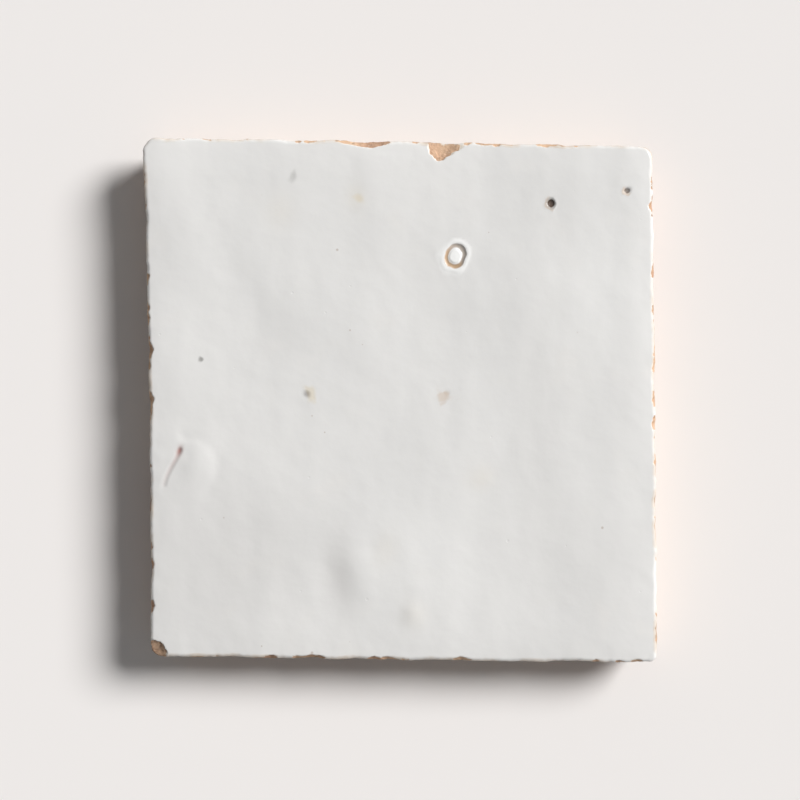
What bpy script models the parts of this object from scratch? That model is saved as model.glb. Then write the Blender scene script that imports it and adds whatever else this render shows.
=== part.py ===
"""A hand-cut square zellige tile: one fired piece of clay, glazed white on its upper face.

The tile lies on its back, glazed face up. X runs along the lower edge of the face, Y up the
face, and Z out of it. The origin is under the middle of the tile, on the plane of its back.

The face is a surface patch stretched between four hand-cut edges. The edges are bowed, out of
square and scalloped by the strokes of the cutting hammer, and the face is pillowed and dented
under its glaze. The sides are struck inwards from the face to the back, so that neighbours
meet at their faces only. Spalls, the pieces of glaze and clay that the blows broke off the
arrises, are cut out one by one.
"""

import math
from collections import namedtuple

import bmesh
import bpy
from mathutils import Matrix, Vector, noise

MM = 0.001

# Overall sizes
FACE_WIDTH = 96.1 * MM
FACE_LENGTH = 97.8 * MM
THICKNESS = 11.0 * MM

# How far the corners of the face lie from those of a true rectangle
LOWER_LEFT_ACROSS = 0.75 * MM
LOWER_LEFT_UP = 0.6 * MM
LOWER_RIGHT_ACROSS = 0.45 * MM
LOWER_RIGHT_UP = -0.6 * MM
UPPER_RIGHT_ACROSS = -0.45 * MM
UPPER_RIGHT_UP = -0.8 * MM
UPPER_LEFT_ACROSS = -0.75 * MM
UPPER_LEFT_UP = 0.9 * MM

# Round corners of the face, seen from above
LOWER_LEFT_RADIUS = 1.6 * MM
LOWER_RIGHT_RADIUS = 1.2 * MM
UPPER_RIGHT_RADIUS = 2.1 * MM
UPPER_LEFT_RADIUS = 2.7 * MM
LEAST_RADIUS = 0.4 * MM

# How far each edge bows out at its middle
LOWER_BOW = 0.15 * MM
RIGHT_BOW = 0.15 * MM
UPPER_BOW = 0.2 * MM
LEFT_BOW = -0.35 * MM

# Scallops left by the strokes of the hammer, at the face and at the back. The strokes drift
# from their even pitch, and each bites to its own depth, the weakest to a share of it. They
# fade out over a share of the edge towards its corners.
STROKE_PITCH = 8.2 * MM
STROKE_DEPTH = 0.22 * MM
STROKE_DEPTH_AT_BACK = 0.6 * MM
STROKE_DRIFT = 1.6 * MM
STROKE_DRIFT_LENGTH = 3.4 * MM
STROKE_VARIETY = 2.3
WEAKEST_STROKE = 0.2
STROKE_FADE = 0.125

# Section of the edge, from the face down to the back
LIP_RADIUS = 0.7 * MM
CUT_DEPTH = 3.0 * MM
CUT_LEAN = 0.15 * MM
UNDERCUT = 1.7 * MM
BACK_ARRIS = 0.6 * MM

# The glazed face: it falls away towards its edges, and swells and dips in between
PILLOW_FALL = 0.3 * MM
PILLOW_REACH = 7.0 * MM
SWELL_HEIGHT = 0.1 * MM
SWELL_LENGTH = 43.0 * MM
SWELL_LENGTH_UP = 54.0 * MM
SWELL_SLANT = 0.4

# Fineness of the surface
FACE_STEPS = 42
CORNER_STEPS = 2
LIP_STEPS = 3
SIDE_STEPS = 3
CUTTER_SUBDIVISIONS = 3

# The balls of the cutters are turned, so that none of their corners lies in a plane of the tile
CUTTER_TURN = math.radians(25)
CUTTER_AXIS = Vector((3, 2, 1)).normalized()

# A dent or mound of the face: place across and up from its middle, half-length across and up,
# turn in degrees, and rise, which is negative for a dent
Relief = namedtuple("Relief", "across up half_across half_up turn rise")
FACE_RELIEF = {
    "hammer_dent": Relief(-13.2 * MM, -34.2 * MM, 3.0 * MM, 6.2 * MM, 14, -0.16 * MM),
    "mound_beside_dent": Relief(-7.2 * MM, -33.0 * MM, 3.6 * MM, 5.8 * MM, 14, 0.26 * MM),
    "broad_swelling": Relief(1.0 * MM, -31.0 * MM, 12.0 * MM, 13.0 * MM, 0, 0.22 * MM),
    "lump": Relief(-38.5 * MM, -11.6 * MM, 2.9 * MM, 4.0 * MM, -22, 0.28 * MM),
    "long_hollow": Relief(-31.0 * MM, 24.0 * MM, 3.4 * MM, 13.0 * MM, 24, -0.15 * MM),
    "right_hollow": Relief(21.5 * MM, -4.0 * MM, 5.0 * MM, 18.0 * MM, 0, -0.06 * MM),
    "low_left_corner": Relief(-42.0 * MM, -40.0 * MM, 18.0 * MM, 16.0 * MM, 0, -0.25 * MM),
    "high_right_side": Relief(33.0 * MM, 12.0 * MM, 9.0 * MM, 22.0 * MM, 0, 0.14 * MM),
}

# A spall: its edge, the distance of its middle along that edge, its half-width on the arris,
# its reach across the face or the back, its drop down the side, and how far its deepest point
# leans along the edge. Edges run anticlockwise, and a negative distance is from their far end.
Spall = namedtuple("Spall", "edge distance half_width reach drop lean")
FACE_SPALLS = {
    "chip": Spall("upper", 39.0 * MM, 3.2 * MM, 3.8 * MM, 2.3 * MM, 1.7 * MM),
    "long_flake": Spall("upper", -41.5 * MM, 6.0 * MM, 1.5 * MM, 1.9 * MM, -1.2 * MM),
    "upper_crumb": Spall("upper", 29.3 * MM, 1.3 * MM, 0.9 * MM, 0.9 * MM, 0.0),
    "upper_nip": Spall("upper", 19.6 * MM, 2.6 * MM, 0.8 * MM, 1.0 * MM, 0.5 * MM),
    "left_nip_high": Spall("left", 39.8 * MM, 2.1 * MM, 1.0 * MM, 1.4 * MM, 0.4 * MM),
    "left_nip_low": Spall("left", -48.3 * MM, 2.3 * MM, 1.1 * MM, 1.7 * MM, -0.3 * MM),
    "right_nip_low": Spall("right", 45.0 * MM, 1.9 * MM, 0.9 * MM, 1.2 * MM, 0.3 * MM),
    "right_nip_high": Spall("right", -10.9 * MM, 1.6 * MM, 1.0 * MM, 1.3 * MM, 0.0),
    "lower_nip_left": Spall("lower", 30.3 * MM, 2.9 * MM, 0.9 * MM, 1.4 * MM, 0.5 * MM),
    "lower_nip_right": Spall("lower", -36.7 * MM, 2.4 * MM, 0.9 * MM, 1.2 * MM, -0.4 * MM),
}
BACK_SPALLS = {
    "lower_loss": Spall("lower", 18.0 * MM, 5.0 * MM, 2.2 * MM, 2.6 * MM, 0.8 * MM),
    "right_loss": Spall("right", -35.0 * MM, 6.5 * MM, 1.9 * MM, 3.2 * MM, -1.2 * MM),
    "upper_loss": Spall("upper", -16.0 * MM, 4.2 * MM, 2.4 * MM, 2.0 * MM, 0.5 * MM),
    "left_loss": Spall("left", 24.0 * MM, 5.6 * MM, 2.0 * MM, 3.0 * MM, 0.0),
}

# Spall of the lower left corner of the face, across its diagonal
CORNER_HALF_WIDTH = 2.7 * MM
CORNER_REACH = 2.3 * MM
CORNER_DROP = 2.4 * MM

# How a spall breaks: a squareness of 2 would leave the hollow of a ball, 1 that of an
# octahedron. The roughness is a share of the spall's size, and the lumps are its bumps in each
# half-width.
SPALL_SQUARENESS = 1.3
SPALL_ROUGHNESS = 0.25
SPALL_LUMPS = 1.7

GLAZE_COLOUR = (0.76, 0.755, 0.745, 1.0)
GLAZE_ROUGHNESS = 0.18
CLAY_COLOUR = (0.60, 0.36, 0.21, 1.0)
CLAY_ROUGHNESS = 0.9

EDGE_NAMES = ("lower", "right", "upper", "left")
STROKE_SHIFT_BETWEEN_EDGES = 0.37
SHARP_ANGLE = math.radians(35)


def face_corners():
    """The four corners of the face before rounding, anticlockwise from the lower left."""
    x, y = FACE_WIDTH / 2, FACE_LENGTH / 2
    return [
        Vector((LOWER_LEFT_ACROSS - x, LOWER_LEFT_UP - y)),
        Vector((LOWER_RIGHT_ACROSS + x, LOWER_RIGHT_UP - y)),
        Vector((UPPER_RIGHT_ACROSS + x, UPPER_RIGHT_UP + y)),
        Vector((UPPER_LEFT_ACROSS - x, UPPER_LEFT_UP + y)),
    ]


def edge_directions():
    """For each edge of the face, the unit vector along it and the one out of the tile."""
    corners = face_corners()
    directions = []
    for start, end in zip(corners, corners[1:] + corners[:1]):
        along = (end - start).normalized()
        directions.append((along, Vector((along.y, -along.x))))
    return directions


def corner_centre(corner, normal_before, normal_after, inset):
    """Centre of the round that lies inset from both of the edges that meet at a corner."""
    bisector = (normal_before + normal_after).normalized()
    return corner - bisector * inset / bisector.dot(normal_after)


def half_round(centre, radius, normal_from, normal_to):
    """Points of a round corner, between two directions out of its centre."""
    shares = [step / CORNER_STEPS for step in range(CORNER_STEPS + 1)]
    return [centre + normal_from.slerp(normal_to, share) * radius for share in shares]


def stroke_bite(edge, distance):
    """How deep the hammer strokes bite at this distance along an edge, from 0 to 1."""
    drift = STROKE_DRIFT * math.sin(distance / STROKE_DRIFT_LENGTH + 2 * edge)
    strokes = (distance + drift) / STROKE_PITCH + STROKE_SHIFT_BETWEEN_EDGES * edge
    force = 0.5 + 0.5 * math.sin(STROKE_VARIETY * math.floor(strokes) + edge)
    strength = WEAKEST_STROKE + (1 - WEAKEST_STROKE) * force
    return strength * abs(math.sin(math.pi * strokes))


def edge_curves(inset, depth):
    """The four edges of the outline, moved in by inset and scalloped by depth.

    Each edge is a list of FACE_STEPS + 1 points from the middle of one round corner to the
    middle of the next, so that the four lists close into one outline.
    """
    corners = face_corners()
    normals = [normal for _, normal in edge_directions()]
    bows = (LOWER_BOW, RIGHT_BOW, UPPER_BOW, LEFT_BOW)
    radii = (LOWER_LEFT_RADIUS, LOWER_RIGHT_RADIUS, UPPER_RIGHT_RADIUS, UPPER_LEFT_RADIUS)
    radii = [max(radius - inset, LEAST_RADIUS) for radius in radii]
    centres = [
        corner_centre(corners[i], normals[i - 1], normals[i], inset + radii[i]) for i in range(4)
    ]
    middles = [(normals[i - 1] + normals[i]).normalized() for i in range(4)]
    curves = []
    for i, normal in enumerate(normals):
        j = (i + 1) % 4
        first = half_round(centres[i], radii[i], middles[i], normal)
        last = half_round(centres[j], radii[j], normal, middles[j])
        start, end = first[-1], last[0]
        steps = FACE_STEPS - 2 * CORNER_STEPS
        straight = []
        for step in range(1, steps):
            share = step / steps
            bow = bows[i] * 4 * share * (1 - share)
            fade = min(1.0, share / STROKE_FADE, (1 - share) / STROKE_FADE)
            bite = depth * fade * stroke_bite(i, share * (end - start).length)
            straight.append(start.lerp(end, share) + normal * (bow - bite))
        curves.append(first + straight + last)
    return curves


def progress(edge_a, edge_b, step, axis):
    """Share of the way that two facing edges have gone at a step, from 0 to 1."""
    start = edge_a[0][axis] + edge_b[0][axis]
    return (edge_a[step][axis] + edge_b[step][axis] - start) / (
        edge_a[-1][axis] + edge_b[-1][axis] - start
    )


def patch_point(curves, i, j):
    """Point i across and j up a surface patch that is stretched between four edges."""
    lower, right = curves[0], curves[1]
    upper, left = curves[2][::-1], curves[3][::-1]
    u = progress(lower, upper, i, 0)
    v = progress(left, right, j, 1)
    ruled_up = lower[i].lerp(upper[i], v)
    ruled_across = left[j].lerp(right[j], u)
    between_corners = lower[0].lerp(lower[-1], u).lerp(upper[0].lerp(upper[-1], u), v)
    return ruled_up + ruled_across - between_corners


def face_height(point):
    """Height of the glazed face over the back, at a point seen from above."""
    gaps = (FACE_WIDTH / 2 - abs(point.x), FACE_LENGTH / 2 - abs(point.y))
    nearness = [max(0.0, 1 - max(gap, 0.0) / PILLOW_REACH) for gap in gaps]
    across = 2 * math.pi * (point.x + SWELL_SLANT * point.y) / SWELL_LENGTH
    swell = math.sin(across) * math.cos(2 * math.pi * point.y / SWELL_LENGTH_UP + 1)
    pillow = PILLOW_FALL * sum(near**2 for near in nearness)
    height = THICKNESS - pillow + SWELL_HEIGHT * swell
    for relief in FACE_RELIEF.values():
        away = point - Vector((relief.across, relief.up))
        turn = math.radians(relief.turn)
        across = away.x * math.cos(turn) + away.y * math.sin(turn)
        up = away.y * math.cos(turn) - away.x * math.sin(turn)
        spread = (across / relief.half_across) ** 2 + (up / relief.half_up) ** 2
        height += relief.rise * math.exp(-spread)
    return height


def edge_section():
    """The rings of the side, from the face down: (inset, drop, scallop depth)."""
    rings = []
    for step in range(1, LIP_STEPS + 1):
        angle = math.pi / 2 * step / LIP_STEPS
        inset = LIP_RADIUS * (1 - math.sin(angle))
        drop = LIP_RADIUS * (1 - math.cos(angle))
        rings.append((inset, drop, STROKE_DEPTH))
    rings.append((CUT_LEAN, CUT_DEPTH, STROKE_DEPTH))
    foot = THICKNESS - BACK_ARRIS
    for step in range(1, SIDE_STEPS + 1):
        share = step / SIDE_STEPS
        inset = CUT_LEAN + (UNDERCUT - CUT_LEAN) * share
        drop = CUT_DEPTH + (foot - CUT_DEPTH) * share
        depth = STROKE_DEPTH + (STROKE_DEPTH_AT_BACK - STROKE_DEPTH) * share
        rings.append((inset, drop, depth))
    rings.append((UNDERCUT + BACK_ARRIS, THICKNESS, STROKE_DEPTH_AT_BACK))
    return rings


def ring_points(inset, drop, depth):
    """One closed ring of the side, anticlockwise from the lower left corner."""
    outline = [point for curve in edge_curves(inset, depth) for point in curve[:-1]]
    share_left = 1 - drop / THICKNESS
    return [Vector((point.x, point.y, face_height(point) * share_left)) for point in outline]


def face_ring(bm):
    """Makes the glazed face, and returns its border, anticlockwise from the lower left."""
    bmesh.ops.create_grid(bm, x_segments=FACE_STEPS, y_segments=FACE_STEPS, size=1)
    curves = edge_curves(LIP_RADIUS, STROKE_DEPTH)
    n = FACE_STEPS
    grid = {(round((v.co.x + 1) / 2 * n), round((v.co.y + 1) / 2 * n)): v for v in bm.verts}
    for (i, j), vert in grid.items():
        point = patch_point(curves, i, j)
        vert.co = (point.x, point.y, face_height(point))
    border = [(i, 0) for i in range(n)] + [(n, j) for j in range(n)]
    border += [(i, n) for i in range(n, 0, -1)] + [(0, j) for j in range(n, 0, -1)]
    return [grid[place] for place in border]


def draw_down(bm, ring, points, material_index):
    """Extrudes a closed ring of vertices onto the next one, and returns it in order."""
    edges = [bm.edges.get((vert, ring[k - 1])) for k, vert in enumerate(ring)]
    made = bmesh.ops.extrude_edge_only(bm, edges=edges)["geom"]
    below = {}
    for item in made:
        if isinstance(item, bmesh.types.BMVert):
            neighbours = [edge.other_vert(item) for edge in item.link_edges]
            below.update((upper, item) for upper in neighbours if upper.index >= 0)
        elif isinstance(item, bmesh.types.BMFace):
            item.material_index = material_index
    next_ring = [below[vert] for vert in ring]
    for vert, point in zip(next_ring, points):
        vert.co = point
    return next_ring


def tile_mesh():
    """The whole tile before its spalls: its face, its sides drawn down from it, its back."""
    bm = bmesh.new()
    ring = face_ring(bm)
    for step, (inset, drop, depth) in enumerate(edge_section()):
        bm.verts.index_update()
        glazed = step < LIP_STEPS
        ring = draw_down(bm, ring, ring_points(inset, drop, depth), 0 if glazed else 1)
    bm.faces.new(ring).material_index = 1
    bmesh.ops.recalc_face_normals(bm, faces=bm.faces)
    mesh = bpy.data.meshes.new("zellige_tile")
    bm.to_mesh(mesh)
    bm.free()
    mesh.shade_smooth()
    mesh.set_sharp_from_angle(angle=SHARP_ANGLE)
    return mesh


def principled(name, colour, roughness):
    material = bpy.data.materials.new(name)
    material.use_nodes = True
    shader = material.node_tree.nodes["Principled BSDF"]
    shader.inputs["Base Color"].default_value = colour
    shader.inputs["Roughness"].default_value = roughness
    shader.inputs["Metallic"].default_value = 0.0
    material.diffuse_color = colour
    return material


def spall_cutter(name, arris, directions, half_width, reach, drop, lean, clay):
    """A cutter that takes a spall of the given size out of an arris.

    Directions are the ones along the arris, out of the tile across the face, and out of the
    tile above it. The cutter is a rough ball, squared off towards an octahedron, so that it
    leaves the nearly flat hollow and the sharp rim of broken clay. It is centred on the arris,
    goes half_width each way along it, reach into the face and drop down the side. Its lean
    shears it along the arris.
    """
    along, out, above = directions
    bm = bmesh.new()
    turn = Matrix.Rotation(CUTTER_TURN, 4, CUTTER_AXIS)
    bmesh.ops.create_icosphere(bm, subdivisions=CUTTER_SUBDIVISIONS, radius=1, matrix=turn)
    power = SPALL_SQUARENESS
    for vert in bm.verts:
        rough = 1 + SPALL_ROUGHNESS * noise.noise(vert.co * SPALL_LUMPS + arris / MM)
        size = rough / sum(abs(share) ** power for share in vert.co) ** (1 / power)
        across, inside, down = vert.co * size
        in_plane = along * (across * half_width + inside * lean) - out * inside * reach
        vert.co = in_plane - above * down * drop
    bm.normal_update()
    bmesh.ops.recalc_face_normals(bm, faces=bm.faces)
    mesh = bpy.data.meshes.new(name)
    bm.to_mesh(mesh)
    bm.free()
    mesh.materials.append(clay)
    cutter = bpy.data.objects.new(name, mesh)
    cutter.location = arris
    cutter.hide_render = True
    cutter.display_type = "WIRE"
    bpy.context.scene.collection.objects.link(cutter)
    return cutter


def edge_spall_cutter(name, spall, inset, depth, on_back, clay):
    """The cutter of a spall of the face arris or the back arris."""
    index = EDGE_NAMES.index(spall.edge)
    corners = face_corners()
    start, end = corners[index], corners[(index + 1) % 4]
    along, out = edge_directions()[index]
    distance = spall.distance % (end - start).length
    curve = edge_curves(inset, depth)[index]
    arris = min(curve, key=lambda point: abs((point - start).dot(along) - distance)).to_3d()
    above = Vector((0, 0, -1 if on_back else 1))
    arris.z = 0 if on_back else face_height(arris.to_2d())
    directions = (along.to_3d(), out.to_3d(), above)
    sizes = (spall.half_width, spall.reach, spall.drop, spall.lean)
    return spall_cutter(name, arris, directions, *sizes, clay)


def corner_spall_cutter(clay):
    """The cutter of the spall of the lower left corner of the face."""
    corner = edge_curves(0, STROKE_DEPTH)[0][0]
    arris = Vector((corner.x, corner.y, face_height(corner)))
    out = Vector((-1, -1, 0)).normalized()
    directions = (Vector((1, -1, 0)).normalized(), out, Vector((0, 0, 1)))
    sizes = (CORNER_HALF_WIDTH, CORNER_REACH, CORNER_DROP, 0)
    return spall_cutter("corner_loss", arris, directions, *sizes, clay)


def spall_cutters(clay):
    cutters = [corner_spall_cutter(clay)]
    for name, spall in FACE_SPALLS.items():
        cutters.append(edge_spall_cutter(name, spall, 0, STROKE_DEPTH, False, clay))
    for name, spall in BACK_SPALLS.items():
        cutters.append(
            edge_spall_cutter(name, spall, UNDERCUT, STROKE_DEPTH_AT_BACK, True, clay)
        )
    return cutters


def centre_over_origin(objects, mesh):
    """Moves the objects together so that the middle of the mesh is over the origin."""
    across = [vert.co.x for vert in mesh.vertices]
    up = [vert.co.y for vert in mesh.vertices]
    middle = Vector(((min(across) + max(across)) / 2, (min(up) + max(up)) / 2, 0))
    for obj in objects:
        obj.location -= middle


def add_tile():
    clay = principled("fired_clay", CLAY_COLOUR, CLAY_ROUGHNESS)
    mesh = tile_mesh()
    mesh.materials.append(principled("white_glaze", GLAZE_COLOUR, GLAZE_ROUGHNESS))
    mesh.materials.append(clay)
    tile = bpy.data.objects.new("zellige_tile", mesh)
    bpy.context.scene.collection.objects.link(tile)
    cutters = spall_cutters(clay)
    for cutter in cutters:
        cut = tile.modifiers.new(cutter.name, "BOOLEAN")
        cut.operation = "DIFFERENCE"
        cut.solver = "EXACT"
        cut.material_mode = "TRANSFER"
        cut.object = cutter
    centre_over_origin([tile] + cutters, mesh)


for old in list(bpy.data.objects):
    bpy.data.objects.remove(old)
add_tile()
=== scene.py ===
import math
import random
from functools import lru_cache

import bmesh
import bpy
from mathutils import Matrix, Vector, kdtree, noise


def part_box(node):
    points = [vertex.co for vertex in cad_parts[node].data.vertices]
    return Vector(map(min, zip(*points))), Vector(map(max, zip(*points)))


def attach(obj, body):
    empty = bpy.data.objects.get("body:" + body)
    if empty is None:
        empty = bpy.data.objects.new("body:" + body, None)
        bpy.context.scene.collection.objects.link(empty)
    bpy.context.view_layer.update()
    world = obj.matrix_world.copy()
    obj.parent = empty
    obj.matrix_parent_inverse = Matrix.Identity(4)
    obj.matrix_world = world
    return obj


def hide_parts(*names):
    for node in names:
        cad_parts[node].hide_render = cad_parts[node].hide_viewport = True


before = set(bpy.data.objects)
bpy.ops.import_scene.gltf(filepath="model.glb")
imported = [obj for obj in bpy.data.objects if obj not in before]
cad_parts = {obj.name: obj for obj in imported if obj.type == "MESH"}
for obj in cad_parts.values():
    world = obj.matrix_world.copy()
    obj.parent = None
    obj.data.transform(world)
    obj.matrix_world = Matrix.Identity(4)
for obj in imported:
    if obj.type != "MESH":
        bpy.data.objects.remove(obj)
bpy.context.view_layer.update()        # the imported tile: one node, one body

mm = 0.001
hair = 0.01                                 # a hair's breadth, in mm
tileLow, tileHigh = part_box("zellige_tile")
print("frame loaded, tile box in mm:", [round(side / mm, 2) for side in tileHigh - tileLow])


# The cut outline. Lengths are in mm. Corners run anticlockwise from the lower left, and each
# edge starts at the corner of its own number: 0 lower, 1 right, 2 upper, 3 left.
cut = {
    "width": 96.1,
    "length": 97.8,
    "cornerShifts": [(0.75, 0.6), (0.45, -0.6), (-0.45, -0.8), (-0.75, 0.9)],
    "cornerRadii": [1.6, 1.2, 2.1, 2.7],
    "leastRadius": 0.4,
    "bows": [0.15, 0.15, 0.2, -0.35],
    "strokePitch": 8.2,
    "strokeDepth": 0.22,                    # scallops at the face
    "strokeDepthAtBack": 0.6,
    "strokeShift": 0.37,                    # from one edge to the next
    "strokeDrift": 1.6,                     # how far a stroke strays from its place
    "strokeDriftLength": 3.4,
    "strokeVariety": 2.3,
    "weakestStroke": 0.2,
    "strokeFade": 0.125,                    # share of the edge, at both ends
}
# The section of the edge, from the face down to the back
section = {
    "thickness": 11.0,
    "lip": 0.7,                             # rounding of the glazed arris
    "cutDepth": 3.0,
    "cutLean": 0.15,
    "undercut": 1.7,
    "backArris": 0.6,
    "backArrisStretch": 1.3,                # length of slab that goes into it, in its size
}
halfX, halfY = cut["width"] / 2, cut["length"] / 2
lipLength = section["lip"] * math.pi / 2
footLength = section["backArris"] * section["backArrisStretch"]


def eased(t):                               # 0 to 1 with soft ends
    t = min(1.0, max(0.0, t))
    return t * t * (3 - 2 * t)


def shiftedCorners(shifts):
    signs = [(-1, -1), (1, -1), (1, 1), (-1, 1)]
    return [Vector((sx * halfX + dx, sy * halfY + dy)) for (sx, sy), (dx, dy) in zip(signs, shifts)]


corners = shiftedCorners(cut["cornerShifts"])
slabCorners = shiftedCorners([(0, 0)] * 4)  # of the plain slab that the tile is carved from
lines = [corners[(i + 1) % 4] - corners[i] for i in range(4)]
alongs = [line.normalized() for line in lines]
outs = [Vector((along.y, -along.x)) for along in alongs]
middles = [(outs[i - 1] + outs[i]).normalized() for i in range(4)]


def shareAlong(edge, distance):             # a negative distance is from the far end
    span = lines[edge].length
    return distance % span / span


@lru_cache(maxsize=None)
def insetEdge(edge, inset):                 # rounds and straight of one edge, moved in
    ends = []
    for i in (edge, (edge + 1) % 4):
        radius = max(cut["cornerRadii"][i] - inset, cut["leastRadius"])
        centre = corners[i] - middles[i] * (inset + radius) / middles[i].dot(outs[i])
        ends.append((centre, radius, radius * math.pi / 4))
    length = (ends[1][0] - ends[0][0]).length + ends[0][2] + ends[1][2]
    return ends, length


def strokeBite(edge, distance):             # 0 to 1, how deep the hammer bites here
    strayed = distance + cut["strokeDrift"] * math.sin(distance / cut["strokeDriftLength"] + 2 * edge)
    strokes = strayed / cut["strokePitch"] + cut["strokeShift"] * edge
    force = 0.5 + 0.5 * math.sin(cut["strokeVariety"] * math.floor(strokes) + edge)
    strength = cut["weakestStroke"] + (1 - cut["weakestStroke"]) * force
    return strength * abs(math.sin(math.pi * strokes))


def edgePoint(edge, share, inset, strokeDepth):  # (place, way out), from mid-corner to mid-corner
    (first, last), length = insetEdge(edge, round(inset, 3))
    firstShare, lastShare = first[2] / length, last[2] / length
    if share < firstShare:
        out = middles[edge].slerp(outs[edge], share / firstShare)
        return first[0] + out * first[1], out
    if share > 1 - lastShare:
        turn = min(1.0, (share - 1 + lastShare) / lastShare)
        out = outs[edge].slerp(middles[(edge + 1) % 4], turn)
        return last[0] + out * last[1], out
    start, end = first[0] + outs[edge] * first[1], last[0] + outs[edge] * last[1]
    t = (share - firstShare) / (1 - firstShare - lastShare)
    bow = cut["bows"][edge] * 4 * t * (1 - t)
    fade = min(1.0, t / cut["strokeFade"], (1 - t) / cut["strokeFade"])
    bite = strokeDepth * fade * strokeBite(edge, t * (end - start).length)
    return start.lerp(end, t) + outs[edge] * (bow - bite), outs[edge]


def patchPoint(u, v, inset, strokeDepth):   # a surface patch stretched between the edges
    lower = edgePoint(0, u, inset, strokeDepth)[0]
    right = edgePoint(1, v, inset, strokeDepth)[0]
    upper = edgePoint(2, 1 - u, inset, strokeDepth)[0]
    left = edgePoint(3, 1 - v, inset, strokeDepth)[0]
    low = edgePoint(0, 0, inset, 0)[0].lerp(edgePoint(0, 1, inset, 0)[0], u)
    high = edgePoint(2, 1, inset, 0)[0].lerp(edgePoint(2, 0, inset, 0)[0], u)
    return lower.lerp(upper, v) + left.lerp(right, u) - low.lerp(high, v)


# The face: relief entries are (across, up, half across, half up, turn in degrees, rise), mm
face = {
    "pillowFall": 0.3,
    "pillowReach": 7.0,
    "swell": 0.1,
    "swellLength": 43.0,
    "swellLengthUp": 54.0,
    "swellSlant": 0.4,
    "swellPhase": 1.0,
    "ripples": [(13.0, 0.12), (6.0, 0.045), (2.6, 0.033), (1.2, 0.006)],       # (length, height)
    "streaks": (4.6, 19.0, 0.05),           # width, length and height of the poured glaze
    "streakSeed": 7.3,
    "relief": [
        (-13.2, -34.2, 3.0, 6.2, 14, -0.16),    # hammer dent
        (-7.2, -33.0, 3.6, 5.8, 14, 0.26),      # mound beside it
        (1.0, -31.0, 12.0, 13.0, 0, 0.22),      # broad swelling
        (2.2, -39.9, 1.5, 1.7, 0, 0.15),        # small bump
        (-5.6, -27.6, 1.5, 1.8, 0, -0.08),      # small hollow
        (-38.5, -11.6, 2.9, 4.0, -22, 0.35),    # lump at the scar
        (-31.0, 24.0, 3.4, 13.0, 24, -0.15),    # long hollow
        (21.5, -4.0, 5.0, 18.0, 0, -0.06),      # long hollow on the right
        (-42.0, -40.0, 18.0, 16.0, 0, -0.25),   # low left corner
        (33.0, 12.0, 9.0, 22.0, 0, 0.14),       # high right side
    ],
}


def bellAt(point, across, up, halfAcross, halfUp, turn):
    away = point - Vector((across, up))
    away.rotate(Matrix.Rotation(-math.radians(turn), 2))
    return math.exp(-((away.x / halfAcross) ** 2) - (away.y / halfUp) ** 2)


def faceHeight(point):
    gaps = (halfX - abs(point.x), halfY - abs(point.y))
    pillow = sum(max(0.0, 1 - max(gap, 0.0) / face["pillowReach"]) ** 2 for gap in gaps)
    across = 2 * math.pi * (point.x + face["swellSlant"] * point.y) / face["swellLength"]
    up = 2 * math.pi * point.y / face["swellLengthUp"] + face["swellPhase"]
    swell = math.sin(across) * math.cos(up)
    height = section["thickness"] - face["pillowFall"] * pillow + face["swell"] * swell
    for *place, rise in face["relief"]:
        height += rise * bellAt(point, *place)
    for length, rise in face["ripples"]:
        height += rise * noise.noise(Vector((point.x, point.y, length)) / length)
    width, length, rise = face["streaks"]
    return height + rise * noise.noise(Vector((point.x / width, point.y / length, face["streakSeed"])))


def edgeSection(down):                      # (inset, drop, stroke depth), down from the face
    lip, foot = section["lip"], section["thickness"] - section["backArris"]
    if down < lipLength:
        angle = down / lip
        return lip * (1 - math.sin(angle)), lip * (1 - math.cos(angle)), cut["strokeDepth"]
    if down > section["thickness"] - footLength:
        t = (down - section["thickness"] + footLength) / footLength
        inset = section["undercut"] + section["backArris"] * t
        return inset, foot + section["backArris"] * t, cut["strokeDepthAtBack"]
    t = (down - lipLength) / (section["thickness"] - footLength - lipLength)
    drop = lip + (foot - lip) * t
    if drop < section["cutDepth"]:
        lean = (drop - lip) / (section["cutDepth"] - lip)
        return section["cutLean"] * lean, drop, cut["strokeDepth"]
    lean = (drop - section["cutDepth"]) / (foot - section["cutDepth"])
    inset = section["cutLean"] + (section["undercut"] - section["cutLean"]) * lean
    deeper = cut["strokeDepthAtBack"] - cut["strokeDepth"]
    return inset, drop, cut["strokeDepth"] + deeper * lean


# Broken clay: flat little faces at two sizes, and grain. (size, depth), mm
breakage = {"big": (4.4, 0.75), "small": (1.6, 0.3), "grain": (0.5, 0.1)}
mostBroken = sum(depth for _, depth in breakage.values())
smallFacetShift = Vector((40, 7, 3))        # so that the two sizes don't line up
facetShape = {"seed": 7.3, "step": 0.6, "ridge": 0.25}
clayPits = {
    "spacing": 2.3,
    "radius": 0.6,
    "depth": 0.5,
    "share": 0.4,
    "steepness": 1.3,
    "seed": 5.1,
}


def facets(point, size):                    # 0 to 1, flat faces with ridges between them
    place = point / size
    distances, cells = noise.voronoi(place)
    levels = []
    for cell in cells[:2]:
        tilt = noise.cell_vector(cell * facetShape["seed"]) - Vector((0.5, 0.5, 0.5))
        levels.append(0.5 + tilt.dot(place - cell) + facetShape["step"] * tilt.x)
    first = 0.5 + 0.5 * eased((distances[1] - distances[0]) / facetShape["ridge"])
    return min(1.0, max(0.0, levels[0] * first + levels[1] * (1 - first)))


def brokenClay(point):                      # how far the broken surface lies back, mm
    size, depth = breakage["big"]
    back = depth * facets(point, size)
    size, depth = breakage["small"]
    back += depth * facets(point + smallFacetShift, size)
    size, depth = breakage["grain"]
    return back + depth * (0.5 + noise.noise(point / size))


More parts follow.
